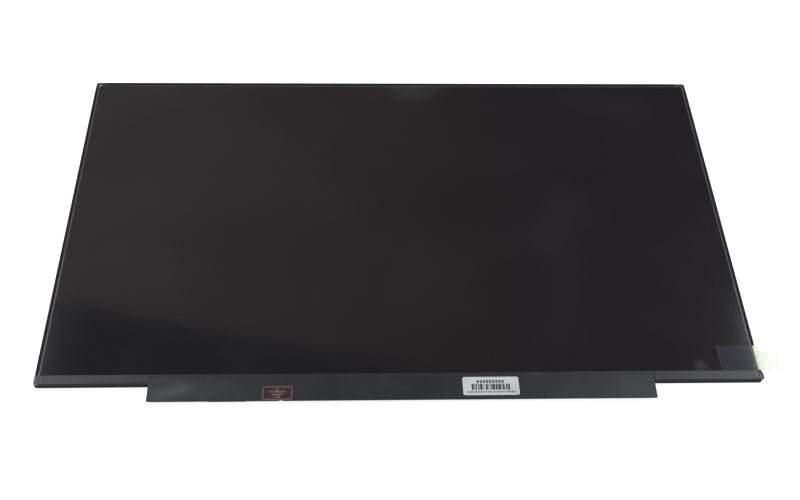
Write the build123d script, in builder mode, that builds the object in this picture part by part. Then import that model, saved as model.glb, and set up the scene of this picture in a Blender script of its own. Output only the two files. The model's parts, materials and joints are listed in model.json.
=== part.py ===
from build123d import *
import os
from math import atan, degrees, radians, sqrt, tan

os.makedirs("parts", exist_ok=True)

# The module lies on its back. X runs along the screen, Y towards its top edge, Z out of the screen.
# The origin is the middle of the outline on the flat rear face. All sizes are in millimetres.

# Outline of the module without the board
panel_width = 350.66
panel_height = 207.00
bottom_corner_radius = 1.0
top_corner_radius = 1.2

# Stack of sheets, from the rear cover to the film on the screen
cover_thickness = 0.30
border_step = 0.10
reflector_thickness = 0.19
guide_thickness = 0.80
diffuser_thickness = 0.14
prism_thickness = 0.16
rim_tape_thickness = 0.06
polarizer_thickness = 0.13
glass_thickness = 0.50
film_thickness = 0.06

# Section through the rim, from the outline inwards
tape_thickness = 0.06
tape_lip = 1.25
tape_fold = 4.5
flange_clearance = 0.05
frame_wall = 1.10
glass_clearance = 0.25
ledge_width = 1.25
sheet_clearance = 0.15
edge_radius = 0.20
fold_clearance = 0.05

# Rear cover: raised border, pressed field and upright flanges
field_margin = 1.5
field_seat = 4.0
field_radius = 5.0
field_draft = 45.0
flange_height = 1.55
flange_corner = 6.0
flange_end_gap = 1.0

# Snap hooks of the frame and their windows in the flanges
hook_length = 7.0
hook_pitch = 66.0
hook_engagement = 0.20
hook_lead = 0.15
hook_clearance = 0.10
window_sill = 0.05
window_bar = 0.30

# Ears that locate the backlight sheets in the frame's top rail
ear_width = 9.0
ear_spacing = 220.0
ear_clearance = 0.30

# Light bar along the bottom edge
light_bar_width = 3.6
light_bar_end_gap = 0.40
light_bar_gap = 0.10
bar_tape_thickness = 0.06
bar_tape_margin = 0.20
flex_thickness = 0.10
led_pitch = 7.0
led_row_margin = 5.0
led_width = 3.0
led_depth = 1.0
led_height = 0.60
led_lip = 0.10
led_window_depth = 0.15
tail_site = 92.0
tail_width = 6.0
tail_insertion = 2.0
tail_clearance = 0.30

# Liquid crystal cell
bonding_ledge = 2.95
polarizer_margin = 0.65
polarizer_chamfer = 1.2
rear_polarizer_margin = 0.50
rim_tape_gap = 0.10
rim_tape_overlap = 0.45
rim_tape_shade = 0.90

# Control board and the bay that the frame leaves for it
board_width = 243.4
board_shift = 0.44
board_overhang = 9.15
board_thickness = 0.60
board_gap = 0.25
board_corner_radius = 0.8
board_notch_site = -58.2
board_notch_width = 1.5
board_notch_depth = 0.35
bay_clearance = 0.60

# Driver films with their chips
driver_count = 4
driver_pitch = 58.0
driver_film_width = 34.0
driver_film_thickness = 0.06
glass_bond = 1.5
board_bond = 1.3
driver_chip_length = 22.0
driver_chip_width = 1.1
driver_chip_thickness = 0.28

# Film over the bonding ledge and the board, and the sticker on it
cover_tape_gap = 0.10
cover_tape_margin = 0.05
cover_tape_slit = 0.05
cover_tape_ramp_gap = 0.20
label_width = 26.6
label_height = 9.6
label_site = 42.15
label_drop = 2.38
label_thickness = 0.08
label_corner_radius = 1.0

# Pull tab of the protective film
tab_width = 13.8
tab_end_width = 12.4
tab_rise = 0.25
tab_grip = 16.8
tab_reach = 11.2
tab_lead = 0.8
tab_bend_radius = 3.0
tab_thickness = 0.08
tab_corner_radius = 0.3
grip_inset = 1.33
grip_thickness = 0.05
table_clearance = 0.03

# Parts on the rear side of the board, placed from the middle of the board
controller_width = 7.0
controller_height = 0.85
controller_site = (-47.0, 0.0)
package_chamfer = 0.10
power_chip_width = 4.0
power_chip_height = 0.80
power_chip_sites = [(-14.0, 0.6), (18.0, -0.4), (60.0, 0.4)]
memory_length = 4.9
memory_width = 3.9
memory_height = 1.0
memory_standoff = 0.10
memory_site = (-62.0, 0.0)
lead_count = 4
lead_pitch = 1.27
lead_width = 0.40
lead_reach = 1.0
lead_thickness = 0.20
inductor_width = 4.2
inductor_height = 1.0
inductor_corner_radius = 0.8
inductor_sites = [(28.0, -0.2), (70.0, 0.2)]
large_capacitor_length = 3.2
large_capacitor_width = 1.6
large_capacitor_height = 0.95
large_capacitor_pitch = 2.8
large_capacitor_rows = 2
large_capacitor_sites = [(35.5, 0.0), (40.5, 0.0), (77.5, 0.0)]
small_part_length = 1.0
small_part_width = 0.5
small_capacitor_height = 0.50
small_resistor_height = 0.35
small_part_pitch = 2.2
small_capacitor_columns = 5
small_capacitor_rows = 3
small_capacitor_sites = [(-34.0, 0.3), (-108.0, 1.0)]
small_resistor_columns = 5
small_resistor_rows = 3
small_resistor_sites = [(0.0, 0.2), (108.0, -0.5)]

# Video receptacle at the lower edge of the board
contact_count = 30
contact_pitch = 0.50
contact_width = 0.20
contact_thickness = 0.12
contact_clearance = 0.03
contact_tail = 0.60
contact_lift = 0.12
contact_setback = 0.50
receptacle_site = -84.0
receptacle_edge_gap = 0.40
receptacle_depth = 3.6
receptacle_end = 1.6
receptacle_cheek = 1.0
receptacle_floor = 0.28
receptacle_slot_height = 0.40
receptacle_slot_depth = 2.5
receptacle_roof = 0.22
shell_thickness = 0.12
shell_foot = 0.8
shell_window_length = 1.8
shell_window_width = 0.9
shell_window_spacing = 10.0

# Connector that takes the tail of the light bar
led_connector_margin = 0.8
led_connector_back = 1.0
led_connector_gap = 0.5
led_connector_wall = 0.12
led_slot_clearance = 0.04

# Distances from the outline inwards
flange_face = tape_thickness
wall_face = flange_face + cover_thickness + flange_clearance
glass_pocket = wall_face + frame_wall
glass_inset = glass_pocket + glass_clearance
ledge_inset = glass_pocket + ledge_width
sheet_inset = ledge_inset + sheet_clearance
guide_bottom = sheet_inset + light_bar_width + light_bar_gap
filter_bottom = glass_inset + bonding_ledge
polarizer_inset = glass_inset + polarizer_margin
polarizer_bottom = filter_bottom + polarizer_margin
field_inset = tape_fold + field_margin
field_bottom = guide_bottom + field_seat

# Heights above the rear face
border_top = border_step + cover_thickness
flange_top = border_step + flange_height
guide_low = border_top + reflector_thickness
diffuser_low = guide_low + guide_thickness
lower_prism_low = diffuser_low + diffuser_thickness
upper_prism_low = lower_prism_low + prism_thickness
ledge_top = upper_prism_low + prism_thickness
rear_polarizer_low = ledge_top + rim_tape_thickness
tft_low = rear_polarizer_low + polarizer_thickness
tft_top = tft_low + glass_thickness
filter_top = tft_top + glass_thickness
film_low = filter_top + polarizer_thickness
film_top = film_low + film_thickness
flex_low = border_top + bar_tape_thickness
flex_top = flex_low + flex_thickness
board_low = tft_top - board_thickness
driver_film_top = tft_top + driver_film_thickness
cover_tape_top = driver_film_top + tape_thickness

# Places of the outline's edges and of the board
bottom_edge = -panel_height / 2
top_edge = panel_height / 2
right_edge = panel_width / 2
board_upper_edge = bottom_edge - board_gap
board_lower_edge = bottom_edge - board_overhang
board_height = board_overhang - board_gap
board_middle = (board_upper_edge + board_lower_edge) / 2
bay_width = board_width + 2 * bay_clearance
bay_left = board_shift - bay_width / 2
bay_right = board_shift + bay_width / 2
board_rear = Plane((board_shift, board_middle, board_low))

# Outward directions of the sides
left_side = Vector(-1, 0, 0)
right_side = Vector(1, 0, 0)
top_side = Vector(0, 1, 0)
bottom_side = Vector(0, -1, 0)
upward = Vector(0, 0, 1)

# Flanges of the cover: the side that each stands on, and where it starts and ends along that side
side_flange = panel_height / 2 - flange_corner
top_flange = panel_width / 2 - flange_corner
flanges = [
    (left_side, -side_flange, side_flange),
    (right_side, -side_flange, side_flange),
    (top_side, -top_flange, top_flange),
    (bottom_side, -top_flange, bay_left - flange_end_gap),
    (bottom_side, bay_right + flange_end_gap, top_flange),
]


def module_outline(inset):
    """Outline of the module moved inwards, with its rounded corners."""
    with BuildSketch(mode=Mode.PRIVATE) as outline:
        Rectangle(panel_width - 2 * inset, panel_height - 2 * inset)
        fillet(outline.vertices().group_by(Axis.Y)[0], bottom_corner_radius - inset)
        fillet(outline.vertices().group_by(Axis.Y)[-1], top_corner_radius - inset)
    return outline.sketch


def inset_rectangle(side, top, bottom, mode=Mode.ADD):
    """Rectangle in the current sketch, given by its distances from the outline's edges."""
    with Locations((0, (bottom - top) / 2)):
        Rectangle(panel_width - 2 * side, panel_height - top - bottom, mode=mode)


def rim_plane(outward, along):
    """Upright plane across the rim: its x runs inwards from the outline, and its y runs up."""
    reach = panel_width / 2 if outward.X else panel_height / 2
    tangent = upward.cross(outward)
    return Plane(outward * reach + tangent * along, x_dir=-outward, z_dir=tangent)


def rim_strips(outer, inner, low, high, slack, mode):
    """Strips of the current part along all flanges, between two insets and two heights."""
    for outward, start, end in flanges:
        with BuildSketch(rim_plane(outward, start - slack)) as section:
            with Locations(((outer + inner) / 2, (low + high) / 2)):
                Rectangle(inner - outer, high - low)
        extrude(section.sketch, amount=end - start + 2 * slack, mode=mode)


def hook_planes():
    """Planes across the rim at the middle of each snap hook."""
    planes = []
    for outward, start, end in flanges:
        count = max(1, int((end - start) // hook_pitch))
        pitch = (end - start) / count
        for index in range(count):
            planes.append(rim_plane(outward, start + (index + 0.5) * pitch))
    return planes


def flat_sheet(side, top, bottom, low, thickness):
    """Plain rectangular sheet, given by its distances from the outline's edges."""
    with BuildPart() as sheet:
        with BuildSketch(Plane.XY.offset(low)):
            inset_rectangle(side, top, bottom)
        extrude(amount=thickness)
    return sheet


def backlight_sheet(low, thickness):
    """Sheet of the backlight, with two ears that locate it in the frame's top rail."""
    ear_end = top_edge - glass_pocket - ear_clearance
    ear_length = sheet_inset - glass_pocket - ear_clearance
    with BuildPart() as sheet:
        with BuildSketch(Plane.XY.offset(low)):
            inset_rectangle(sheet_inset, sheet_inset, guide_bottom)
            with Locations((-ear_spacing / 2, ear_end), (ear_spacing / 2, ear_end)):
                Rectangle(ear_width, ear_length, align=(Align.CENTER, Align.MAX))
        extrude(amount=thickness)
    return sheet


def screen_film(low, thickness):
    """Film over the screen, with one cut corner that marks its direction."""
    with BuildPart() as sheet:
        with BuildSketch(Plane.XY.offset(low)) as section:
            inset_rectangle(polarizer_inset, polarizer_inset, polarizer_bottom)
            chamfer(section.vertices().group_by(Axis.Y)[-1].sort_by(Axis.X)[0], polarizer_chamfer)
        extrude(amount=thickness)
    return sheet


def tab_plan():
    """Plan of the pull tab, narrower towards its free end."""
    with BuildSketch(mode=Mode.PRIVATE) as plan:
        with BuildLine():
            Polyline(
                (tab_start, tab_middle - tab_width / 2),
                (right_edge, tab_middle - tab_width / 2),
                (tab_end, tab_middle - tab_end_width / 2),
                (tab_end, tab_middle + tab_end_width / 2),
                (right_edge, tab_middle + tab_width / 2),
                (tab_start, tab_middle + tab_width / 2),
                close=True,
            )
        make_face()
        fillet(plan.vertices().group_by(Axis.X)[0], tab_corner_radius)
        fillet(plan.vertices().group_by(Axis.X)[-1], tab_corner_radius)
    return plan.sketch


def tab_layer(start, height, thickness):
    """Layer of the pull tab at a height over the film: flat, then bent down and straight to the table."""
    with BuildPart() as layer:
        with BuildSketch(Plane.XZ.offset(-tab_middle)):
            with BuildLine() as path:
                flat = Line((start, film_top + height), (tab_droop_start, film_top + height))
                bend = JernArc(flat @ 1, flat % 1, tab_bend_radius + height, -tab_droop)
                Line(bend @ 1, bend @ 1 + (bend % 1) * tab_run)
            trace(path.line, line_width=thickness)
        extrude(amount=tab_width, both=True)
        with BuildSketch():
            add(tab_plan())
        extrude(amount=film_top + 2 * tab_thickness, mode=Mode.INTERSECT)
    return layer


def folded_tape(outward, start, end, lip):
    """Tape round one side of the rim: a lip on the frame, the side, and a fold under the cover's border."""
    low = border_step - tape_thickness
    high = filter_top + tape_thickness
    inner_radius = edge_radius - fold_clearance
    with BuildPart() as tape:
        with BuildSketch(rim_plane(outward, start)) as section:
            with BuildLine():
                Polyline(
                    (lip, high),
                    (0, high),
                    (0, low),
                    (tape_fold, low),
                    (tape_fold, border_step),
                    (tape_thickness, border_step),
                    (tape_thickness, filter_top),
                    (lip, filter_top),
                    close=True,
                )
            make_face()
            fillet(section.vertices().group_by(Axis.X)[0], inner_radius + tape_thickness)
            fillet(section.vertices().group_by(Axis.X)[1], inner_radius)
        extrude(amount=end - start)
    return tape


# Rear cover: sheet with a raised border, a field pressed out to the rear, and flanges with hook windows
field_width = panel_width - 2 * field_inset
field_height = panel_height - field_inset - field_bottom
field_middle = (field_bottom - field_inset) / 2
bend_shift = cover_thickness * tan(radians(field_draft / 2))
window_low = border_top + window_sill
window_top = flange_top - window_bar
with BuildPart() as rear_cover:
    with BuildSketch(Plane.XY.offset(border_step)):
        add(module_outline(flange_face))
    extrude(amount=cover_thickness)
    rim_strips(flange_face, flange_face + cover_thickness, border_step, flange_top, 0, Mode.ADD)
    fillet(rear_cover.faces().sort_by(Axis.Z)[0].outer_wire().edges(), edge_radius)
    with BuildSketch(Plane((0, field_middle, border_step))):
        RectangleRounded(field_width, field_height, field_radius)
    extrude(amount=-border_step, taper=field_draft)
    with BuildSketch(Plane((0, field_middle, border_top))):
        RectangleRounded(
            field_width - 2 * bend_shift,
            field_height - 2 * bend_shift,
            field_radius - bend_shift,
        )
    extrude(amount=-border_step, taper=field_draft, mode=Mode.SUBTRACT)
    for plane in hook_planes():
        with BuildSketch(plane):
            with Locations((wall_face / 2, (window_low + window_top) / 2)):
                Rectangle(wall_face, window_top - window_low)
        extrude(amount=hook_length / 2 + hook_clearance, both=True, mode=Mode.SUBTRACT)
rear_cover.part.label = "rear_cover"
export_step(rear_cover.part, "parts/rear_cover.step")

# Moulded frame: wall round the cell, ledge under it, snap hooks, ear pockets and the open bay at the board
hook_low = window_low + hook_clearance
hook_top = window_top - hook_clearance
hook_tip = wall_face - flange_clearance - hook_engagement
tail_x = board_shift + tail_site
with BuildPart() as mould_frame:
    with BuildSketch(Plane.XY.offset(border_top)):
        add(module_outline(flange_face))
        inset_rectangle(glass_pocket, glass_pocket, glass_pocket, mode=Mode.SUBTRACT)
    extrude(amount=filter_top - border_top)
    fillet(mould_frame.faces().sort_by(Axis.Z)[-1].outer_wire().edges(), edge_radius)
    with BuildSketch(Plane.XY.offset(border_top)):
        inset_rectangle(glass_pocket, glass_pocket, glass_pocket)
        inset_rectangle(ledge_inset, ledge_inset, ledge_inset, mode=Mode.SUBTRACT)
    extrude(amount=ledge_top - border_top)
    rim_strips(0, wall_face, border_top, flange_top + flange_clearance, flange_clearance, Mode.SUBTRACT)
    for plane in hook_planes():
        with BuildSketch(plane):
            with BuildLine():
                Polyline(
                    (wall_face, hook_low),
                    (hook_tip, hook_low + hook_lead),
                    (hook_tip, hook_top),
                    (wall_face, hook_top),
                    close=True,
                )
            make_face()
        extrude(amount=hook_length / 2, both=True)
    with BuildSketch(Plane((0, top_edge - glass_pocket, border_top))):
        with Locations((-ear_spacing / 2, 0), (ear_spacing / 2, 0)):
            Rectangle(ear_width + 2 * ear_clearance, ledge_width, align=(Align.CENTER, Align.MAX))
    extrude(amount=ledge_top - border_top, mode=Mode.SUBTRACT)
    with BuildSketch(Plane.XY.offset(ledge_top)):
        with Locations((board_shift, bottom_edge)):
            Rectangle(bay_width, glass_pocket, align=(Align.CENTER, Align.MIN))
    extrude(amount=filter_top - ledge_top, mode=Mode.SUBTRACT)
    with BuildSketch(Plane.XY.offset(border_top)):
        with Locations((tail_x, bottom_edge)):
            Rectangle(tail_width + 2 * tail_clearance, ledge_inset, align=(Align.CENTER, Align.MIN))
    extrude(amount=flex_top + tail_clearance - border_top, mode=Mode.SUBTRACT)
mould_frame.part.label = "mould_frame"
export_step(mould_frame.part, "parts/mould_frame.step")

# Sheets of the backlight
reflector_sheet = backlight_sheet(border_top, reflector_thickness)
reflector_sheet.part.label = "reflector_sheet"
export_step(reflector_sheet.part, "parts/reflector_sheet.step")

light_guide = backlight_sheet(guide_low, guide_thickness)
light_guide.part.label = "light_guide"
export_step(light_guide.part, "parts/light_guide.step")

diffuser_sheet = backlight_sheet(diffuser_low, diffuser_thickness)
diffuser_sheet.part.label = "diffuser_sheet"
export_step(diffuser_sheet.part, "parts/diffuser_sheet.step")

lower_prism_sheet = backlight_sheet(lower_prism_low, prism_thickness)
lower_prism_sheet.part.label = "lower_prism_sheet"
export_step(lower_prism_sheet.part, "parts/lower_prism_sheet.step")

upper_prism_sheet = backlight_sheet(upper_prism_low, prism_thickness)
upper_prism_sheet.part.label = "upper_prism_sheet"
export_step(upper_prism_sheet.part, "parts/upper_prism_sheet.step")

# Light bar: tape, flexible circuit with its tail, and the row of LEDs that face the light guide
bar_length = panel_width - 2 * (sheet_inset + light_bar_end_gap)
bar_lower_edge = bottom_edge + sheet_inset
bar_upper_edge = bar_lower_edge + light_bar_width
led_count = int((bar_length - 2 * led_row_margin) // led_pitch) + 1
led_connector_mouth = board_upper_edge - led_connector_gap
tail_end = led_connector_mouth - tail_insertion
with BuildPart() as light_bar_tape:
    with BuildSketch(Plane.XY.offset(border_top)):
        with Locations((0, (bar_lower_edge + bar_upper_edge) / 2)):
            Rectangle(bar_length - 2 * bar_tape_margin, light_bar_width - 2 * bar_tape_margin)
    extrude(amount=bar_tape_thickness)
light_bar_tape.part.label = "light_bar_tape"
export_step(light_bar_tape.part, "parts/light_bar_tape.step")

with BuildPart() as light_bar_flex:
    with BuildSketch(Plane.XY.offset(flex_low)):
        with Locations((0, bar_lower_edge)):
            Rectangle(bar_length, light_bar_width, align=(Align.CENTER, Align.MIN))
        with Locations((tail_x, bar_lower_edge)):
            Rectangle(tail_width, bar_lower_edge - tail_end, align=(Align.CENTER, Align.MAX))
    extrude(amount=flex_thickness)
light_bar_flex.part.label = "light_bar_flex"
export_step(light_bar_flex.part, "parts/light_bar_flex.step")

with BuildPart() as leds:
    with BuildSketch(Plane((0, bar_upper_edge - led_depth / 2, flex_top))):
        with GridLocations(led_pitch, led_pitch, led_count, 1):
            Rectangle(led_width, led_depth)
    extrude(amount=led_height)
    with BuildSketch(Plane((0, bar_upper_edge - led_window_depth / 2, flex_top + led_lip))):
        with GridLocations(led_pitch, led_pitch, led_count, 1):
            Rectangle(led_width - 2 * led_lip, led_window_depth)
    extrude(amount=led_height - 2 * led_lip, mode=Mode.SUBTRACT)
leds.part.label = "leds"
export_step(leds.part, "parts/leds.step")

# Tape ring that bonds the cell to the frame, wide along the bottom to shade the light bar
with BuildPart() as rim_tape:
    with BuildSketch(Plane.XY.offset(ledge_top)):
        outer = glass_pocket + rim_tape_gap
        inner = sheet_inset + rim_tape_overlap
        inset_rectangle(outer, outer, outer)
        inset_rectangle(inner, inner, guide_bottom + rim_tape_shade, mode=Mode.SUBTRACT)
    extrude(amount=rim_tape_thickness)
rim_tape.part.label = "rim_tape"
export_step(rim_tape.part, "parts/rim_tape.step")

# Liquid crystal cell with its polarizers
rear_inset = glass_inset + rear_polarizer_margin
rear_polarizer = flat_sheet(rear_inset, rear_inset, rear_inset, rear_polarizer_low, polarizer_thickness)
rear_polarizer.part.label = "rear_polarizer"
export_step(rear_polarizer.part, "parts/rear_polarizer.step")

tft_glass = flat_sheet(glass_inset, glass_inset, glass_inset, tft_low, glass_thickness)
tft_glass.part.label = "tft_glass"
export_step(tft_glass.part, "parts/tft_glass.step")

color_filter_glass = flat_sheet(glass_inset, glass_inset, filter_bottom, tft_top, glass_thickness)
color_filter_glass.part.label = "color_filter_glass"
export_step(color_filter_glass.part, "parts/color_filter_glass.step")

front_polarizer = screen_film(filter_top, polarizer_thickness)
front_polarizer.part.label = "front_polarizer"
export_step(front_polarizer.part, "parts/front_polarizer.step")

protective_film = screen_film(film_low, film_thickness)
protective_film.part.label = "protective_film"
export_step(protective_film.part, "parts/protective_film.step")

# Pull tab: clear tape on the film, with a coloured film bonded under its free end
tab_start = right_edge - polarizer_inset - tab_grip
tab_droop_start = right_edge - tab_lead
tab_end = right_edge + tab_reach
tab_low = bottom_edge + polarizer_bottom + tab_rise
tab_middle = tab_low + tab_width / 2
tab_run = tab_end - tab_droop_start
tab_drop = film_top - grip_thickness - table_clearance
tab_bend = 2 * tab_bend_radius - tab_drop
tab_droop = 2 * degrees(atan((tab_run - sqrt(tab_run**2 - tab_drop * tab_bend)) / tab_bend))
pull_tab = tab_layer(tab_start, tab_thickness / 2, tab_thickness)
pull_tab.part.label = "pull_tab"
export_step(pull_tab.part, "parts/pull_tab.step")

tab_grip_film = tab_layer(right_edge - grip_inset, -grip_thickness / 2, grip_thickness)
tab_grip_film.part.label = "tab_grip_film"
export_step(tab_grip_film.part, "parts/tab_grip_film.step")

# Black tapes round the left, right and top sides
edge_tape_left = folded_tape(left_side, -side_flange, side_flange, tape_lip)
edge_tape_left.part.label = "edge_tape_left"
export_step(edge_tape_left.part, "parts/edge_tape_left.step")

edge_tape_right = folded_tape(right_side, -side_flange, side_flange, tape_lip)
edge_tape_right.part.label = "edge_tape_right"
export_step(edge_tape_right.part, "parts/edge_tape_right.step")

edge_tape_top = folded_tape(top_side, -top_flange, top_flange, tape_lip)
edge_tape_top.part.label = "edge_tape_top"
export_step(edge_tape_top.part, "parts/edge_tape_top.step")

# Control board, with a notch in its lower edge
with BuildPart() as control_board:
    with BuildSketch(board_rear):
        RectangleRounded(board_width, board_height, board_corner_radius)
        with Locations((board_notch_site, -board_height / 2)):
            Rectangle(
                board_notch_width, board_notch_depth, align=(Align.CENTER, Align.MIN), mode=Mode.SUBTRACT
            )
    extrude(amount=board_thickness)
control_board.part.label = "control_board"
export_step(control_board.part, "parts/control_board.step")

# Driver films from the bonding ledge to the board, and the chips under them in the gap between the two
film_upper_end = bottom_edge + glass_inset + glass_bond
film_lower_end = board_upper_edge - board_bond
chip_middle = (bottom_edge + glass_inset + board_upper_edge) / 2
with BuildPart() as driver_films:
    with BuildSketch(Plane((board_shift, (film_upper_end + film_lower_end) / 2, tft_top))):
        with GridLocations(driver_pitch, driver_pitch, driver_count, 1):
            Rectangle(driver_film_width, film_upper_end - film_lower_end)
    extrude(amount=driver_film_thickness)
driver_films.part.label = "driver_films"
export_step(driver_films.part, "parts/driver_films.step")

with BuildPart() as driver_chips:
    with BuildSketch(Plane((board_shift, chip_middle, tft_top))):
        with GridLocations(driver_pitch, driver_pitch, driver_count, 1):
            Rectangle(driver_chip_length, driver_chip_width)
    extrude(amount=-driver_chip_thickness)
driver_chips.part.label = "driver_chips"
export_step(driver_chips.part, "parts/driver_chips.step")

# Film over the bonding ledge and the board, folded round the bottom edge between the bay and the corners
band_inset = polarizer_bottom - cover_tape_gap
ramp_end = film_upper_end + cover_tape_ramp_gap
apron_width = board_width - 2 * cover_tape_margin
apron_end = board_lower_edge + cover_tape_margin
fold_end = panel_width / 2 - bottom_corner_radius
fold_spans = [(-fold_end, bay_left - flange_end_gap), (bay_right + flange_end_gap, fold_end)]
with BuildPart() as board_cover_tape:
    with BuildSketch(Plane.XY.offset(filter_top)):
        add(module_outline(0))
        with Locations((0, bottom_edge)):
            Rectangle(panel_width, 2 * band_inset, mode=Mode.INTERSECT)
        with Locations((board_shift, bottom_edge)):
            Rectangle(bay_width, 2 * filter_bottom, mode=Mode.SUBTRACT)
    extrude(amount=tape_thickness)
    with BuildSketch(Plane.YZ.offset(board_shift)):
        with BuildLine():
            Polyline(
                (bottom_edge + band_inset, filter_top),
                (bottom_edge + filter_bottom, filter_top),
                (ramp_end, driver_film_top),
                (apron_end, driver_film_top),
                (apron_end, cover_tape_top),
                (ramp_end, cover_tape_top),
                (bottom_edge + filter_bottom, filter_top + tape_thickness),
                (bottom_edge + band_inset, filter_top + tape_thickness),
                close=True,
            )
        make_face()
    extrude(amount=bay_width / 2 - cover_tape_slit, both=True)
    with BuildSketch(Plane((board_shift, bottom_edge, driver_film_top))):
        Rectangle(bay_width, board_overhang, align=(Align.CENTER, Align.MAX))
        Rectangle(apron_width, board_overhang, align=(Align.CENTER, Align.MAX), mode=Mode.SUBTRACT)
    extrude(amount=tape_thickness, mode=Mode.SUBTRACT)
    with BuildSketch(Plane((board_shift + board_notch_site, board_lower_edge, driver_film_top))):
        Rectangle(board_notch_width, board_notch_depth, align=(Align.CENTER, Align.MIN))
    extrude(amount=tape_thickness, mode=Mode.SUBTRACT)
    for start, end in fold_spans:
        add(folded_tape(bottom_side, start, end, band_inset).part)
board_cover_tape.part.label = "board_cover_tape"
export_step(board_cover_tape.part, "parts/board_cover_tape.step")

with BuildPart() as label:
    with BuildSketch(Plane((board_shift + label_site, bottom_edge - label_drop, cover_tape_top))):
        RectangleRounded(label_width, label_height, label_corner_radius)
    extrude(amount=label_thickness)
label.part.label = "label"
export_step(label.part, "parts/label.step")

# Chips on the rear side of the board
with BuildPart() as timing_controller:
    with BuildSketch(board_rear):
        with Locations(controller_site):
            Rectangle(controller_width, controller_width)
    extrude(amount=-controller_height)
    chamfer(timing_controller.faces().sort_by(Axis.Z)[0].edges(), package_chamfer)
timing_controller.part.label = "timing_controller"
export_step(timing_controller.part, "parts/timing_controller.step")

with BuildPart() as power_chips:
    with BuildSketch(board_rear):
        with Locations(*power_chip_sites):
            Rectangle(power_chip_width, power_chip_width)
    extrude(amount=-power_chip_height)
    chamfer(power_chips.faces().group_by(Axis.Z)[0].edges(), package_chamfer)
power_chips.part.label = "power_chips"
export_step(power_chips.part, "parts/power_chips.step")

# Memory chip with two rows of gull-wing leads, each row made by one bent section
lead_mid = -(memory_standoff + memory_height / 2)
lead_end = memory_width / 2 + lead_reach
lead_step = memory_width / 2 + lead_reach / 2
with BuildPart() as memory_chip:
    with BuildSketch(board_rear.offset(-memory_standoff)):
        with Locations(memory_site):
            Rectangle(memory_length, memory_width)
    extrude(amount=-memory_height)
    chamfer(memory_chip.faces().sort_by(Axis.Z)[0].edges(), package_chamfer)
    for index in range(lead_count):
        lead_x = memory_site[0] + (index - (lead_count - 1) / 2) * lead_pitch - lead_width / 2
        lead_plane = Plane(board_rear.from_local_coords((lead_x, memory_site[1], 0)), (0, 1, 0), (1, 0, 0))
        with BuildSketch(lead_plane):
            with BuildLine():
                Polyline(
                    (0, lead_mid - lead_thickness / 2),
                    (lead_step, lead_mid - lead_thickness / 2),
                    (lead_step, -lead_thickness),
                    (lead_end, -lead_thickness),
                    (lead_end, 0),
                    (lead_step - lead_thickness, 0),
                    (lead_step - lead_thickness, lead_mid + lead_thickness / 2),
                    (0, lead_mid + lead_thickness / 2),
                    close=True,
                )
            make_face()
            mirror(about=Plane.YZ)
        extrude(amount=lead_width)
memory_chip.part.label = "memory_chip"
export_step(memory_chip.part, "parts/memory_chip.step")

# Inductors, capacitors and resistors
with BuildPart() as power_inductors:
    with BuildSketch(board_rear):
        with Locations(*inductor_sites):
            RectangleRounded(inductor_width, inductor_width, inductor_corner_radius)
    extrude(amount=-inductor_height)
power_inductors.part.label = "power_inductors"
export_step(power_inductors.part, "parts/power_inductors.step")

with BuildPart() as capacitors:
    with BuildSketch(board_rear):
        with Locations(*large_capacitor_sites):
            with GridLocations(large_capacitor_pitch, large_capacitor_pitch, 1, large_capacitor_rows):
                Rectangle(large_capacitor_length, large_capacitor_width)
    extrude(amount=-large_capacitor_height)
    with BuildSketch(board_rear):
        with Locations(*small_capacitor_sites):
            with GridLocations(
                small_part_pitch, small_part_pitch, small_capacitor_columns, small_capacitor_rows
            ):
                Rectangle(small_part_length, small_part_width)
    extrude(amount=-small_capacitor_height)
capacitors.part.label = "capacitors"
export_step(capacitors.part, "parts/capacitors.step")

with BuildPart() as resistors:
    with BuildSketch(board_rear):
        with Locations(*small_resistor_sites):
            with GridLocations(
                small_part_pitch, small_part_pitch, small_resistor_columns, small_resistor_rows
            ):
                Rectangle(small_part_length, small_part_width)
    extrude(amount=-small_resistor_height)
resistors.part.label = "resistors"
export_step(resistors.part, "parts/resistors.step")

# Connector for the light bar's tail, open towards the screen
connector_low = flex_low - led_slot_clearance - led_connector_wall
slot_low = flex_low - led_slot_clearance
slot_top = flex_top + led_slot_clearance
slot_width = tail_width + 2 * led_slot_clearance
slot_depth = tail_insertion + led_slot_clearance
with BuildPart() as led_connector:
    with BuildSketch(Plane((tail_x, led_connector_mouth, connector_low))):
        Rectangle(
            tail_width + 2 * led_connector_margin,
            slot_depth + led_connector_back,
            align=(Align.CENTER, Align.MAX),
        )
    extrude(amount=board_low - connector_low)
    with BuildSketch(Plane((tail_x, led_connector_mouth, slot_low))):
        Rectangle(slot_width, slot_depth, align=(Align.CENTER, Align.MAX))
    extrude(amount=slot_top - slot_low, mode=Mode.SUBTRACT)
led_connector.part.label = "led_connector"
export_step(led_connector.part, "parts/led_connector.step")

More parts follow.
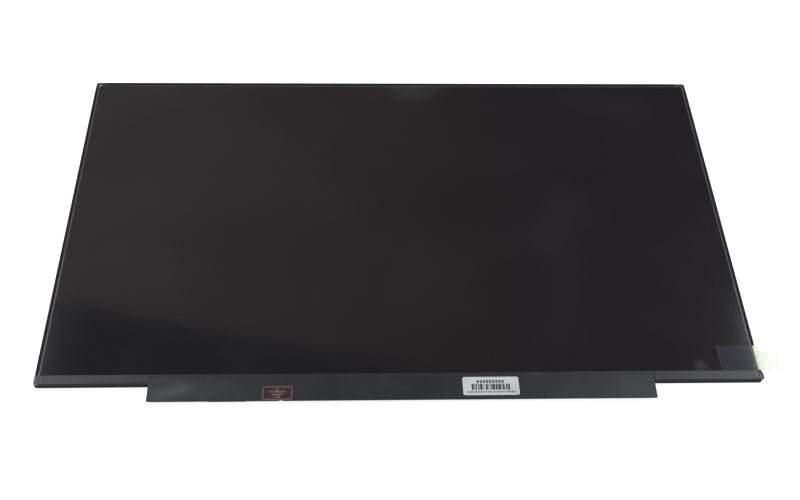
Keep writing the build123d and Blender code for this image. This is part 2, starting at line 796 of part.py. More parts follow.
# Video receptacle: insulator with a slot and a comb of slits, one contact in each slit, and a metal shell
contact_row = (contact_count - 1) * contact_pitch
receptacle_length = contact_row + 2 * receptacle_end
receptacle_height = receptacle_floor + receptacle_slot_height + receptacle_roof
mouth = board_lower_edge + receptacle_edge_gap
receptacle_x = board_shift + receptacle_site
slit_width = contact_width + 2 * contact_clearance
mouth_plane = Plane((receptacle_x, mouth, board_low))
with BuildPart() as receptacle_housing:
    with BuildSketch(mouth_plane):
        Rectangle(receptacle_length, receptacle_depth, align=(Align.CENTER, Align.MIN))
    extrude(amount=-receptacle_height)
    with BuildSketch(mouth_plane.offset(-receptacle_floor)):
        Rectangle(
            receptacle_length - 2 * receptacle_cheek, receptacle_slot_depth, align=(Align.CENTER, Align.MIN)
        )
    extrude(amount=-receptacle_slot_height, mode=Mode.SUBTRACT)
    with BuildSketch(mouth_plane):
        with GridLocations(contact_pitch, contact_pitch, contact_count, 1):
            Rectangle(slit_width, receptacle_slot_depth, align=(Align.CENTER, Align.MIN))
    extrude(amount=-receptacle_floor, mode=Mode.SUBTRACT)
    with BuildSketch(mouth_plane):
        with GridLocations(contact_pitch, contact_pitch, contact_count, 1):
            Rectangle(slit_width, receptacle_depth, align=(Align.CENTER, Align.MIN))
    extrude(amount=-(contact_thickness + contact_clearance), mode=Mode.SUBTRACT)
receptacle_housing.part.label = "receptacle_housing"
export_step(receptacle_housing.part, "parts/receptacle_housing.step")

tip_height = -(receptacle_floor + contact_lift)
with BuildPart() as contact_blade:
    with BuildSketch(Plane(mouth_plane.origin, (0, 1, 0), (1, 0, 0))):
        with BuildLine():
            Polyline(
                (receptacle_depth + contact_tail, 0),
                (receptacle_slot_depth, 0),
                (contact_setback, tip_height + contact_thickness),
                (contact_setback, tip_height),
                (receptacle_slot_depth, -contact_thickness),
                (receptacle_depth + contact_tail, -contact_thickness),
                close=True,
            )
        make_face()
    extrude(amount=contact_width / 2, both=True)

with BuildPart() as receptacle_contacts:
    with GridLocations(contact_pitch, contact_pitch, contact_count, 1):
        add(contact_blade.part)
receptacle_contacts.part.label = "receptacle_contacts"
export_step(receptacle_contacts.part, "parts/receptacle_contacts.step")

shell_half = receptacle_length / 2 + shell_thickness
with BuildPart() as receptacle_shell:
    with BuildSketch(Plane(mouth_plane.origin, (1, 0, 0), (0, -1, 0))):
        with BuildLine():
            Polyline(
                (0, -receptacle_height),
                (shell_half - shell_thickness, -receptacle_height),
                (shell_half - shell_thickness, 0),
                (shell_half + shell_foot, 0),
                (shell_half + shell_foot, -shell_thickness),
                (shell_half, -shell_thickness),
                (shell_half, -receptacle_height - shell_thickness),
                (0, -receptacle_height - shell_thickness),
                close=True,
            )
        make_face()
        mirror(about=Plane.YZ)
    extrude(amount=-receptacle_depth)
    with BuildSketch(mouth_plane.offset(-receptacle_height)):
        with Locations((0, receptacle_depth / 2)):
            with GridLocations(shell_window_spacing, shell_window_spacing, 2, 1):
                Rectangle(shell_window_length, shell_window_width)
    extrude(amount=-shell_thickness, mode=Mode.SUBTRACT)
receptacle_shell.part.label = "receptacle_shell"
export_step(receptacle_shell.part, "parts/receptacle_shell.step")
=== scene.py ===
"""Looks of the laptop screen panel: materials, films, prints, light and camera round the CAD frame."""

import json
import math

import bmesh
import bpy
from mathutils import Matrix, Vector, noise


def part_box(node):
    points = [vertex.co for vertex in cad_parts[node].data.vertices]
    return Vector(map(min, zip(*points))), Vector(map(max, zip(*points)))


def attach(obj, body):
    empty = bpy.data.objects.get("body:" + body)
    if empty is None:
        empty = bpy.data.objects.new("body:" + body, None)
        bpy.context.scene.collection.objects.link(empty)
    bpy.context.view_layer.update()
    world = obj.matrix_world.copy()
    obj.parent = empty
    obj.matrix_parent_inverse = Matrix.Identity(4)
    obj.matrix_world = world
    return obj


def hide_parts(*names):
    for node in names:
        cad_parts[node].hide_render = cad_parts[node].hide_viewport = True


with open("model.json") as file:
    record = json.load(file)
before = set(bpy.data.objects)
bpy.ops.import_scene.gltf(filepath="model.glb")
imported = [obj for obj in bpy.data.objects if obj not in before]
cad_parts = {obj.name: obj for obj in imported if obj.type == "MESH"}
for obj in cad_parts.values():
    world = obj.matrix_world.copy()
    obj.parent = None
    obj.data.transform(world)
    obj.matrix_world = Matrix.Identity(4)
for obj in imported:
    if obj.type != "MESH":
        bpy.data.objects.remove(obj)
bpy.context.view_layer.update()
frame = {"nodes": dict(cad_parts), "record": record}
nodes = frame["nodes"]
MM = 0.001

# Camera, fitted to the outline in the photo
CAMERA_PLACE = (-20.17 * MM, -373.23 * MM, 450.46 * MM)
CAMERA_TILT = math.radians(38.027)
CAMERA_YAW = math.radians(-2.679)
CAMERA_ROLL = math.radians(-1.839)
CAMERA_LENS = 48.725
CAMERA_SENSOR = 36
CAMERA_CLIP = 0.01

# Light on the object, and what the screen mirrors
WORLD_LIGHT = 0.385
FLOOR_GLOW = 0.81
FLOOR_DROP = 0.05 * MM
FLOOR_SIZE = 8.0
FLOOR_COLOUR = (0.80, 0.80, 0.80)
CARD_HEIGHT = 1.0
CARD_HALF_WIDTH = 1.6
CARD_NEAR = -0.2
CARD_FAR = 2.4
CARD_SPAN = (-0.55, 0.65)
CARD_TONES = [
    (0.00, (0.49, 0.42, 0.43)),
    (0.35, (0.36, 0.30, 0.31)),
    (0.55, (0.29, 0.23, 0.24)),
    (0.80, (0.21, 0.18, 0.22)),
    (1.00, (0.22, 0.20, 0.25)),
]
SHADE_COLOUR = (0.165, 0.160, 0.205)
SHADE_EDGE = ((-0.509, 0.647), (0.081, 0.5175))
SHADE_RIGHT = 0.35
SHADE_DROP = 0.01
SOFTBOX_SIZE = (0.50, 0.57)
SOFTBOX_LEFT = (-0.78, 0.335, 0.95)
SOFTBOX_RIGHT = (0.855, 0.335, 0.95)
SOFTBOX_LEFT_POWER = 8.7
SOFTBOX_RIGHT_POWER = 10.3

# Protective film: how much it waves, and its gap over the polarizer
FILM_GAP = 0.008 * MM
FILM_WAVE = 0.014 * MM
FILM_WAVE_SIZE = 42 * MM
FILM_STEP = 2.4 * MM
FILM_CUT = 1.2 * MM

# Pale spots on the film, as place, reach and strength: a painted reflection near the tab, a pale patch at
# the top centre and a painted highlight along the top edge
FILM_PALE_SPOTS = [
    ((146 * MM, -98 * MM, 3 * MM), (4 * MM, 8 * MM, 5 * MM), 0.030),
    ((11 * MM, 101 * MM, 3 * MM), (22 * MM, 17 * MM, 20 * MM), 0.014),
    ((0, 100.9 * MM, 3 * MM), (420 * MM, 1.3 * MM, 5 * MM), 0.018),
]
# Pale spots painted as sheen towards the ends of the tape over the board: place, reach and strength
TAPE_SHEEN_SPOTS = [
    ((-115 * MM, -109 * MM, 3 * MM), (9 * MM, 5 * MM, 9 * MM), 0.12),
    ((-106 * MM, -106 * MM, 3 * MM), (8 * MM, 5 * MM, 8 * MM), 0.11),
    ((-92 * MM, -107 * MM, 3 * MM), (20 * MM, 7 * MM, 20 * MM), 0.04),
    ((113 * MM, -108 * MM, 3 * MM), (14 * MM, 6 * MM, 14 * MM), 0.025),
]
# Painted glint at the glass's marked corner: place, reach and strength
GLASS_GLINTS = [((-172.7 * MM, 100.9 * MM, 3 * MM), (1.9 * MM, 2.0 * MM, 2 * MM), 0.6)]

# Tape over the board: sag between the driver films, ripples and the grid it is cut into
TAPE_STEP = 1.2 * MM
TAPE_SAG = 0.045 * MM
TAPE_RIPPLE = 0.016 * MM
RIPPLE_SIZE = (16 * MM, 6 * MM)
SAG_BLEND = 4 * MM
BOARD_BLEND = 1 * MM
LABEL_BLEND = 1.5 * MM
WALL_BLEND = (0.4 * MM, 1.4 * MM)
LEFT_FOLDS = (1.1 * MM, 3.5 * MM)
RIGHT_FOLD = 1.15 * MM
RIGHT_FOLD_TOP = 3.2 * MM
SLANTED_FOLD = 2.3 * MM
SLANTED_FOLD_SLOPE = 0.28
RIGHT_FOLD_BREADTH = 1.6
FOLD_ZONE = 4.6 * MM
FOLD_HEIGHT = 0.09 * MM
FOLD_WIDTH = 0.28 * MM
FOLD_FADE = (0.1 * MM, 0.6 * MM)
# Width of the pale band painted as highlight along each fold
FOLD_HIGHLIGHT_WIDTH = 0.2 * MM
FOLD_STEP = 0.2 * MM
CORNER_BULGE = 0.6 * MM
BULGE_LENGTH = 2 * MM
BULGE_FADE = (3 * MM, 5 * MM)
# Strips painted as shade along the front edge and at the right end of the tape; near the left corner the
# front strip is a painted highlight instead
EDGE_SHADE_STRIP = 0.5 * MM
END_SHADE_STRIP = 0.85 * MM
CORNER_LINE = 2.2 * MM
# Front wall faces that take the painted wall shade: reach above the front edge and steepness
WALL_REACH = 0.3 * MM
WALL_STEEPNESS = 0.6
WALL_TOLERANCE = 0.1 * MM
GUSSET_END = 0.8 * MM
SLIT_SEARCH = 2 * MM
SLIT_START = 1 * MM
TAPE_LOOKS = ["cover_tape", "tape_wall_shade", "tape_crease_highlight", "tape_edge_shade"]

# Tape along the top of the rim: how far its lip reaches on to the glass
TOP_LIP = 2.15 * MM
LIP_TOLERANCE = 0.01 * MM

# Pull tab
TAB_LEAD = 0.3 * MM
TAB_BEND = 0.8 * MM
TAB_EDGE = 0.45 * MM
TAB_SIDE = 0.12 * MM
# Width of the grey strip painted as the tab's shadow along the grip's free edges
GRIP_EDGE = 0.4 * MM
GRIP_LEAD = 1.3 * MM
GRIP_STRIPE = 5 * MM
GRIP_CLEARNESS = (0.2, 0.62)
TAB_END_NARROWING = 0.7 * MM
TAB_CORNER = 0.3 * MM
TAB_GAP = 0.004 * MM
TAB_WAVE = 0.03 * MM
TAB_WAVE_SIZE = (5 * MM, 7 * MM)
TAB_STEP = 0.4 * MM
TAB_CORNER_STEP = 0.1 * MM
TAB_BEND_STEP = 0.04 * MM
TAB_SHARE_STEP = 0.1
GRIP_THICKNESS = 0.05 * MM
GRIP_FIRST_STEP = 0.02 * MM

# Label and prints
LABEL_GROWTH = 0.45 * MM
PRINT_THICKNESS = 0.006 * MM
PRINT_GAP = 0.002 * MM
GROUND_LEFT = -66.65 * MM
GROUND_RIGHT = -52.65 * MM
GROUND_DROP = 1.55 * MM
GROUND_HEIGHT = 7.2 * MM
GROUND_LINE = 0.45 * MM
SIGN_STROKE = 0.72 * MM
SIGN_STEM = 1.5 * MM
SIGN_PITCH = 1.45 * MM
SIGN_REACHES = (3.8 * MM, 2.5 * MM, 1.2 * MM)
STROKE_STEP = 0.8 * MM

# Label print, in shares of the label: the bar field, then each row's start, end, low, high, count and gap
BARS_LEFT, BARS_RIGHT = 0.155, 0.835
BARS_LOW, BARS_HIGH = 0.28, 0.62
BAR_WIDTHS = (3, 1, 2, 2, 4, 1, 3, 1, 2, 4, 3, 4, 1, 3, 2, 3)
BAR_GAPS = (1, 1, 2, 1, 2, 2, 1, 2, 1, 1, 1, 1, 1, 2, 1)
DASH_ROWS = [
    (0.25, 0.75, 0.67, 0.82, 9, 0.32),
    (0.08, 0.94, 0.13, 0.21, 22, 0.36),
]

# Tin ends of the small parts
TERMINAL_SHARE = 0.24
TERMINAL_SKIN = 0.02 * MM
TERMINAL_BEVEL = 0.015 * MM

# Meshes: which points are one, and which edges stay sharp
JOIN_DISTANCE = 0.0005 * MM
SHARP_ANGLE = math.radians(35)
FLAT_ANGLE = math.radians(0.5)

# Plain finishes: dark and light colour, roughness, then patch, grain and grain height in mm, and gloss
PLAIN_FINISHES = {
    "polarizer": ((0.004, 0.004, 0.005), (0.006, 0.006, 0.007), (0.35, 0.5), 60, 0.3, 0.002, 0.0),
    "optical_film": ((0.80, 0.81, 0.83), (0.88, 0.89, 0.90), (0.25, 0.35), 40, 0.3, 0.004, 0.5),
    "light_guide": ((0.82, 0.86, 0.85), (0.88, 0.91, 0.90), (0.08, 0.15), 40, 0.6, 0.004, 0.5),
    "reflector_film": ((0.86, 0.86, 0.86), (0.92, 0.92, 0.92), (0.40, 0.55), 40, 0.3, 0.004, 0.5),
    "black_tape": ((0.006, 0.006, 0.007), (0.011, 0.011, 0.012), (0.50, 0.62), 14, 0.7, 0.012, 0.12),
    # Copies of the tape: a pale one painted as highlight on the folds, duller ones painted as shade on the
    # front wall and edge
    "tape_crease_highlight": ((0.066, 0.067, 0.074), (0.120, 0.122, 0.132), (0.36, 0.42), 1.5, 0.3, 0.004, 0.5),
    "tape_wall_shade": ((0.011, 0.011, 0.014), (0.015, 0.015, 0.019), (0.42, 0.50), 14, 0.7, 0.006, 0.30),
    "tape_edge_shade": ((0.008, 0.008, 0.010), (0.012, 0.012, 0.014), (0.40, 0.46), 14, 0.7, 0.004, 0.18),
    "frame_plastic": ((0.009, 0.009, 0.010), (0.015, 0.015, 0.016), (0.42, 0.55), 9, 0.25, 0.010, 0.25),
    "bond_tape": ((0.020, 0.020, 0.020), (0.032, 0.032, 0.032), (0.55, 0.7), 8, 0.5, 0.01, 0.5),
    "flex_circuit": ((0.42, 0.22, 0.05), (0.55, 0.31, 0.08), (0.28, 0.40), 4, 0.5, 0.006, 0.5),
    "led_package": ((0.82, 0.80, 0.72), (0.90, 0.88, 0.82), (0.35, 0.45), 2, 0.2, 0.004, 0.5),
    "chip_package": ((0.012, 0.012, 0.013), (0.022, 0.022, 0.023), (0.48, 0.60), 3, 0.12, 0.008, 0.5),
    "ferrite": ((0.055, 0.055, 0.060), (0.090, 0.090, 0.095), (0.55, 0.70), 1.5, 0.15, 0.02, 0.5),
    "capacitor_ceramic": ((0.26, 0.16, 0.085), (0.36, 0.23, 0.13), (0.30, 0.42), 1, 0.1, 0.004, 0.5),
    "resistor_ceramic": ((0.010, 0.010, 0.011), (0.020, 0.020, 0.021), (0.25, 0.35), 1, 0.1, 0.004, 0.5),
    "connector_plastic": ((0.016, 0.016, 0.016), (0.026, 0.026, 0.025), (0.40, 0.5), 2, 0.15, 0.006, 0.5),
    "label_paper": ((0.54, 0.58, 0.59), (0.61, 0.64, 0.64), (0.42, 0.52), 7, 0.25, 0.006, 0.5),
    "label_ink": ((0.020, 0.020, 0.022), (0.045, 0.045, 0.048), (0.40, 0.55), 1.5, 0.2, 0.002, 0.5),
    "mark_ink": ((0.130, 0.075, 0.083), (0.190, 0.122, 0.132), (0.45, 0.60), 1.2, 0.2, 0.002, 0.5),
    "mark_ground": ((0.020, 0.006, 0.008), (0.030, 0.011, 0.013), (0.40, 0.52), 2.5, 0.3, 0.002, 0.35),
}

# Metal finishes: dark and light colour, roughness, line size in mm and stretch along each axis
METAL_FINISHES = {
    "cover_metal": ((0.56, 0.57, 0.58), (0.70, 0.71, 0.72), (0.30, 0.44), 1.2, (0.02, 1, 1)),
    "shell_metal": ((0.60, 0.59, 0.57), (0.74, 0.73, 0.71), (0.22, 0.34), 0.3, (0.1, 1, 1)),
    "contact_metal": ((0.80, 0.56, 0.20), (0.92, 0.68, 0.30), (0.18, 0.30), 0.3, (1, 0.1, 1)),
    "solder": ((0.58, 0.58, 0.57), (0.74, 0.74, 0.73), (0.25, 0.40), 0.4, (1, 1, 1)),
}


def smooth(low, high, value):
    """0 below low, 1 above high, with a soft step between."""
    share = min(1.0, max(0.0, (value - low) / (high - low)))
    return share * share * (3 - 2 * share)


class Finish:
    """Material round one Principled shader, with noise for its colour, roughness and bump."""

    def __init__(self, name, sockets=None):
        self.material = bpy.data.materials.new(name)
        self.material.use_nodes = True
        self.tree = self.material.node_tree
        self.shader = self.tree.nodes["Principled BSDF"]
        self.place = self.add("ShaderNodeTexCoord").outputs["Object"]
        self.normal = None
        for socket, value in (sockets or {}).items():
            self.shader.inputs[socket].default_value = value

    def add(self, kind, **settings):
        node = self.tree.nodes.new(kind)
        for name, value in settings.items():
            setattr(node, name, value)
        return node

    def link(self, source, target):
        self.tree.links.new(source, target)

    def stretched(self, stretch):
        """Object coordinates, scaled on each axis."""
        mapping = self.add("ShaderNodeMapping")
        mapping.inputs["Scale"].default_value = stretch
        self.link(self.place, mapping.inputs["Vector"])
        return mapping.outputs["Vector"]

    def noise(self, size, detail=4, stretch=(1, 1, 1), distortion=0.0):
        """Noise with features of the given size in metres."""
        texture = self.add("ShaderNodeTexNoise")
        texture.inputs["Scale"].default_value = 1 / size
        texture.inputs["Detail"].default_value = detail
        texture.inputs["Distortion"].default_value = distortion
        self.link(self.stretched(stretch), texture.inputs["Vector"])
        return texture.outputs["Fac"]

    def ramp(self, source, stops):
        """Colours along a value, given as (position, colour)."""
        ramp = self.add("ShaderNodeValToRGB")
        elements = ramp.color_ramp.elements
        while len(elements) < len(stops):
            elements.new(0.5)
        for element, (position, colour) in zip(elements, stops):
            element.position = position
            element.color = (*colour, 1)
        self.link(source, ramp.inputs["Fac"])
        return ramp.outputs["Color"]

    def spread(self, source, low, high, start=0.3, end=0.7):
        """Value moved into a range."""
        spread = self.add("ShaderNodeMapRange")
        spread.inputs["From Min"].default_value = start
        spread.inputs["From Max"].default_value = end
        spread.inputs["To Min"].default_value = low
        spread.inputs["To Max"].default_value = high
        self.link(source, spread.inputs["Value"])
        return spread.outputs["Result"]

    def soft_spot(self, source, place, reach, whiteness):
        """Value with a soft spot added at a place."""
        mapping = self.add("ShaderNodeMapping", vector_type="TEXTURE")
        mapping.inputs["Location"].default_value = place
        mapping.inputs["Scale"].default_value = reach
        self.link(self.place, mapping.inputs["Vector"])
        length = self.add("ShaderNodeVectorMath", operation="LENGTH")
        self.link(mapping.outputs["Vector"], length.inputs[0])
        fading = self.spread(length.outputs["Value"], whiteness, 0.0, start=0.1, end=1.0)
        uneven = self.spread(self.noise(3 * MM, distortion=1.0), 0.5, 1.3)
        streaks = self.add("ShaderNodeMath", operation="MULTIPLY")
        self.link(fading, streaks.inputs[0])
        self.link(uneven, streaks.inputs[1])
        total = self.add("ShaderNodeMath", operation="ADD")
        self.link(source, total.inputs[0])
        self.link(streaks.outputs["Value"], total.inputs[1])
        return total.outputs["Value"]

    def blend_colour(self, factor, colour):
        """Base colour mixed with another one by a factor."""
        mix = self.add("ShaderNodeMix", data_type="RGBA")
        base = self.shader.inputs["Base Color"]
        self.link(factor, mix.inputs["Factor"])
        self.link(base.links[0].from_socket, mix.inputs[6])
        mix.inputs[7].default_value = (*colour, 1)
        self.link(mix.outputs[2], base)
        return self

    def colour(self, source, stops):
        self.link(self.ramp(source, stops), self.shader.inputs["Base Color"])
        return self

    def rough(self, source, low, high):
        self.link(self.spread(source, low, high), self.shader.inputs["Roughness"])
        return self

    def bump(self, source, height):
        """Bump of the given height in metres, on top of the bumps so far."""
        bump = self.add("ShaderNodeBump")
        bump.inputs["Distance"].default_value = height
        self.link(source, bump.inputs["Height"])
        if self.normal is not None:
            self.link(self.normal, bump.inputs["Normal"])
        self.normal = bump.outputs["Normal"]
        self.link(self.normal, self.shader.inputs["Normal"])
        return self


def plain_finish(name, dark, light, roughness, patch, grain, height, gloss=0.5):
    """Finish with soft patches of two colours, uneven roughness and a fine grain."""
    finish = Finish(name, {"Specular IOR Level": gloss})
    patches = finish.noise(patch)
    finish.colour(patches, [(0.3, dark), (0.7, light)])
    finish.rough(patches, *roughness)
    finish.bump(finish.noise(grain, detail=3), height)
    return finish


def clear_finish(name, tint, haze, roughness, patch, pale_colour, pale_spots=()):
    """Clear film: mirrors more at a low angle, lets the rest through, and has faint hazy patches, plus any
    pale spots given, which on the screen film are painted reflection and highlight.
    """
    finish = Finish(name)
    finish.tree.nodes.remove(finish.shader)
    patches = finish.noise(patch, detail=6, distortion=0.6)
    mirror = finish.add("ShaderNodeBsdfGlossy")
    finish.link(finish.spread(patches, *roughness), mirror.inputs["Roughness"])
    clear = finish.add("ShaderNodeBsdfTransparent")
    clear.inputs["Color"].default_value = (*tint, 1)
    pale_layer = finish.add("ShaderNodeBsdfDiffuse")
    pale_layer.inputs["Color"].default_value = (*pale_colour, 1)
    body = finish.add("ShaderNodeMixShader")
    dimness = finish.spread(patches, *haze, start=0.45, end=0.8)
    for place, reach, whiteness in pale_spots:
        dimness = finish.soft_spot(dimness, place, reach, whiteness)
    finish.link(dimness, body.inputs["Fac"])
    finish.link(clear.outputs["BSDF"], body.inputs[1])
    finish.link(pale_layer.outputs["BSDF"], body.inputs[2])
    angle = finish.add("ShaderNodeLayerWeight")
    angle.inputs["Blend"].default_value = 0.5
    steep = finish.add("ShaderNodeMath", operation="POWER")
    steep.inputs[1].default_value = 5.0
    finish.link(angle.outputs["Facing"], steep.inputs[0])
    mix = finish.add("ShaderNodeMixShader")
    finish.link(finish.spread(steep.outputs["Value"], 0.04, 1.0, start=0.0, end=1.0), mix.inputs["Fac"])
    finish.link(body.outputs["Shader"], mix.inputs[1])
    finish.link(mirror.outputs["BSDF"], mix.inputs[2])
    finish.link(mix.outputs["Shader"], finish.tree.nodes["Material Output"].inputs["Surface"])
    return finish


def tinted_finish(name, dark, light, clearness):
    """Coloured film that lets part of the light through."""
    finish = plain_finish(name, dark, light, (0.35, 0.45), 5 * MM, 0.4 * MM, 0.01 * MM)
    clear = finish.add("ShaderNodeBsdfTransparent")
    clear.inputs["Color"].default_value = (1, 1, 1, 1)
    mix = finish.add("ShaderNodeMixShader")
    mix.inputs["Fac"].default_value = clearness
    finish.link(finish.shader.outputs["BSDF"], mix.inputs[1])
    finish.link(clear.outputs["BSDF"], mix.inputs[2])
    finish.link(mix.outputs["Shader"], finish.tree.nodes["Material Output"].inputs["Surface"])
    return finish


def grip_finish():
    """Pale yellow-green film that lets light through past it, denser at the rim and stronger in colour
    there, partly its own tint and partly painted shade of the bend.
    """
    finish = tinted_finish("grip_film", (0.950, 0.968, 0.720), (0.970, 0.982, 0.800), GRIP_CLEARNESS[1])
    split = finish.add("ShaderNodeSeparateXYZ")
    finish.link(finish.place, split.inputs["Vector"])
    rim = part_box("mould_frame")[1].x
    clearness = finish.spread(split.outputs["X"], *GRIP_CLEARNESS, start=rim, end=rim + GRIP_STRIPE / 2)
    finish.link(clearness, finish.tree.nodes["Mix Shader"].inputs["Fac"])
    # Deeper yellow near the rim: the film's own tint, partly painted shade where it bends down
    rim_tint_and_shade = finish.spread(split.outputs["X"], 1.0, 0.0, start=rim - GRIP_LEAD, end=rim + GRIP_STRIPE)
    return finish.blend_colour(rim_tint_and_shade, (0.910, 0.950, 0.620))


def brushed_finish(name, dark, light, roughness, size, stretch):
    """Rolled or plated metal with fine lines along one axis."""
    finish = Finish(name, {"Metallic": 1.0})
    lines = finish.noise(size, detail=8, stretch=stretch)
    finish.colour(lines, [(0.3, dark), (0.7, light)])
    finish.rough(lines, *roughness)
    finish.bump(lines, 0.004 * MM)
    return finish


def cover_tape_finish():
    """Satin black film with faint pale scuffs, and pale spots painted as sheen towards the ends of the tape
    over the board.
    """
    dark, light = (0.0085, 0.0088, 0.0125), (0.0112, 0.0115, 0.0156)
    finish = plain_finish("cover_tape", dark, light, (0.38, 0.42), 20 * MM, 0.8 * MM, 0.004 * MM, 0.5)
    finish.shader.inputs["Specular Tint"].default_value = (0.92, 0.97, 1.0, 1)
    scuffs_and_sheen = finish.spread(finish.noise(5 * MM, detail=7), 0.0, 0.03, start=0.60, end=0.75)
    # Pale spots painted as sheen towards the ends of the tape, on top of random faint scuffs
    for place, reach, strength in TAPE_SHEEN_SPOTS:
        scuffs_and_sheen = finish.soft_spot(scuffs_and_sheen, place, reach, strength)
    return finish.blend_colour(scuffs_and_sheen, (0.30, 0.30, 0.33))


def glass_finish():
    """Cut rim of the cell's glass, with faint pale specks and a painted glint at its marked corner."""
    dark, light = (0.066, 0.066, 0.072), (0.094, 0.094, 0.100)
    finish = plain_finish("cell_glass", dark, light, (0.18, 0.30), 18 * MM, 1 * MM, 0.002 * MM)
    specks_and_glint = finish.spread(finish.noise(2 * MM, detail=6), 0.0, 0.05, start=0.6, end=0.8)
    # Pale spot at the marked corner: a painted glint
    for place, reach, strength in GLASS_GLINTS:
        specks_and_glint = finish.soft_spot(specks_and_glint, place, reach, strength)
    return finish.blend_colour(specks_and_glint, (0.45, 0.45, 0.46))


def board_finish():
    """Green solder mask with copper tracks showing through it."""
    finish = Finish("solder_mask", {"Coat Weight": 0.3, "Coat Roughness": 0.15})
    tracks = finish.add("ShaderNodeTexBrick", offset=0.37, squash=1.6, squash_frequency=3)
    tracks.inputs["Scale"].default_value = 1 / (4 * MM)
    tracks.inputs["Mortar Size"].default_value = 0.035
    tracks.inputs["Brick Width"].default_value = 4.2
    tracks.inputs["Row Height"].default_value = 0.21
    tracks.inputs["Color1"].default_value = (0.008, 0.085, 0.040, 1)
    tracks.inputs["Color2"].default_value = (0.010, 0.100, 0.046, 1)
    tracks.inputs["Mortar"].default_value = (0.022, 0.170, 0.072, 1)
    finish.link(finish.place, tracks.inputs["Vector"])
    facing = finish.add("ShaderNodeSeparateXYZ")
    finish.link(finish.add("ShaderNodeNewGeometry").outputs["Normal"], facing.inputs["Vector"])
    flat = finish.add("ShaderNodeMath", operation="ABSOLUTE")
    finish.link(facing.outputs["Z"], flat.inputs[0])
    mask = finish.add("ShaderNodeMix", data_type="RGBA")
    finish.link(flat.outputs["Value"], mask.inputs["Factor"])
    edge = finish.ramp(finish.noise(0.5 * MM), [(0.3, (0.010, 0.011, 0.008)), (0.7, (0.020, 0.021, 0.015))])
    finish.link(edge, mask.inputs[6])
    finish.link(tracks.outputs["Color"], mask.inputs[7])
    finish.link(mask.outputs[2], finish.shader.inputs["Base Color"])
    finish.rough(finish.noise(3 * MM), 0.30, 0.42)
    finish.bump(tracks.outputs["Fac"], 0.02 * MM)
    return finish


finishes = {
    "clear_film": clear_finish(
        "clear_film",
        tint=(0.96, 0.965, 0.96),
        haze=(0.0, 0.003),
        roughness=(0.080, 0.090),
        patch=55 * MM,
        pale_colour=(0.8, 0.8, 0.8),
        pale_spots=FILM_PALE_SPOTS,
    ),
    "tab_film": clear_finish(
        "tab_film",
        tint=(0.98, 0.985, 0.98),
        haze=(0.005, 0.011),
        roughness=(0.04, 0.055),
        patch=14 * MM,
        pale_colour=(0.48, 0.70, 1.0),
    ),
    "film_edge": tinted_finish("film_edge", (0.40, 0.43, 0.48), (0.55, 0.58, 0.63), 0.88),
    # Grey, half-clear strip painted as the tab's shadow on the floor
    "grip_edge_shadow": tinted_finish("grip_edge_shadow", (0.52, 0.54, 0.46), (0.62, 0.64, 0.56), 0.45),
    "grip_film": grip_finish(),
    "cell_glass": glass_finish(),
    "cover_tape": cover_tape_finish(),
    "solder_mask": board_finish(),
}
for name, (dark, light, roughness, patch, grain, height, gloss) in PLAIN_FINISHES.items():
    finishes[name] = plain_finish(name, dark, light, roughness, patch * MM, grain * MM, height * MM, gloss)
for name, (dark, light, roughness, size, stretch) in METAL_FINISHES.items():
    finishes[name] = brushed_finish(name, dark, light, roughness, size * MM, stretch)

# Each CAD node takes the finish that the record names
for subpart in frame["record"]["subparts"]:
    solid = nodes[subpart["node"]].data
    solid.materials.clear()
    solid.materials.append(finishes[subpart["material_slot"]].material)


def cad_copy(node):
    """Free copy of a CAD node's mesh, with its faces joined."""
    bm = bmesh.new()
    bm.from_mesh(nodes[node].data)
    bmesh.ops.remove_doubles(bm, verts=bm.verts, dist=JOIN_DISTANCE)
    return bm


def new_piece(name, bm, looks, replaced=()):
    """Piece of the object from a finished bmesh, in the row frame, with its finishes."""
    mesh = bpy.data.meshes.new(name)
    bm.to_mesh(mesh)
    bm.free()
    mesh.shade_smooth()
    mesh.set_sharp_from_angle(angle=SHARP_ANGLE)
    piece = bpy.data.objects.new(name, mesh)
    bpy.context.scene.collection.objects.link(piece)
    for look in looks:
        mesh.materials.append(finishes[look].material)
    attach(piece, "root")
    if replaced:
        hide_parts(*replaced)


def add_sheet(bm, columns, rows, upper, lower, rim_finish=1):
    """Closed sheet over a grid, with finish 0 on top, finish 1 below and the given one on the rim."""
    layers = []
    for surface in (upper, lower):
        layers.append([[bm.verts.new(surface(column, row)) for row in rows] for column in columns])
    last_column, last_row = len(columns) - 1, len(rows) - 1
    top, bottom = layers
    for i in range(last_column):
        for j in range(last_row):
            bm.faces.new((top[i][j], top[i + 1][j], top[i + 1][j + 1], top[i][j + 1]))
            under = bm.faces.new((bottom[i][j], bottom[i][j + 1], bottom[i + 1][j + 1], bottom[i + 1][j]))
            under.material_index = 1
    rim = [(i, 0) for i in range(last_column)] + [(last_column, j) for j in range(last_row)]
    rim += [(i, last_row) for i in range(last_column, 0, -1)] + [(0, j) for j in range(last_row, 0, -1)]
    for (i, j), (k, m) in zip(rim, rim[1:] + rim[:1]):
        bm.faces.new((top[i][j], bottom[i][j], bottom[k][m], top[k][m])).material_index = rim_finish


def add_box(bm, low, high):
    """Closed box between two corners."""
    size = Vector(high) - Vector(low)
    middle = (Vector(high) + Vector(low)) / 2
    bmesh.ops.create_cube(bm, size=1, matrix=Matrix.Translation(middle) @ Matrix.Diagonal((*size, 1)))


def steps(low, high, step):
    """Even stations from low to high, at most a step apart."""
    count = max(1, math.ceil((high - low) / step))
    return [low + (high - low) * i / count for i in range(count + 1)]


# Protective film: one thin sheet that waves a little, with its cut corner
film_low, film_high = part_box("protective_film")


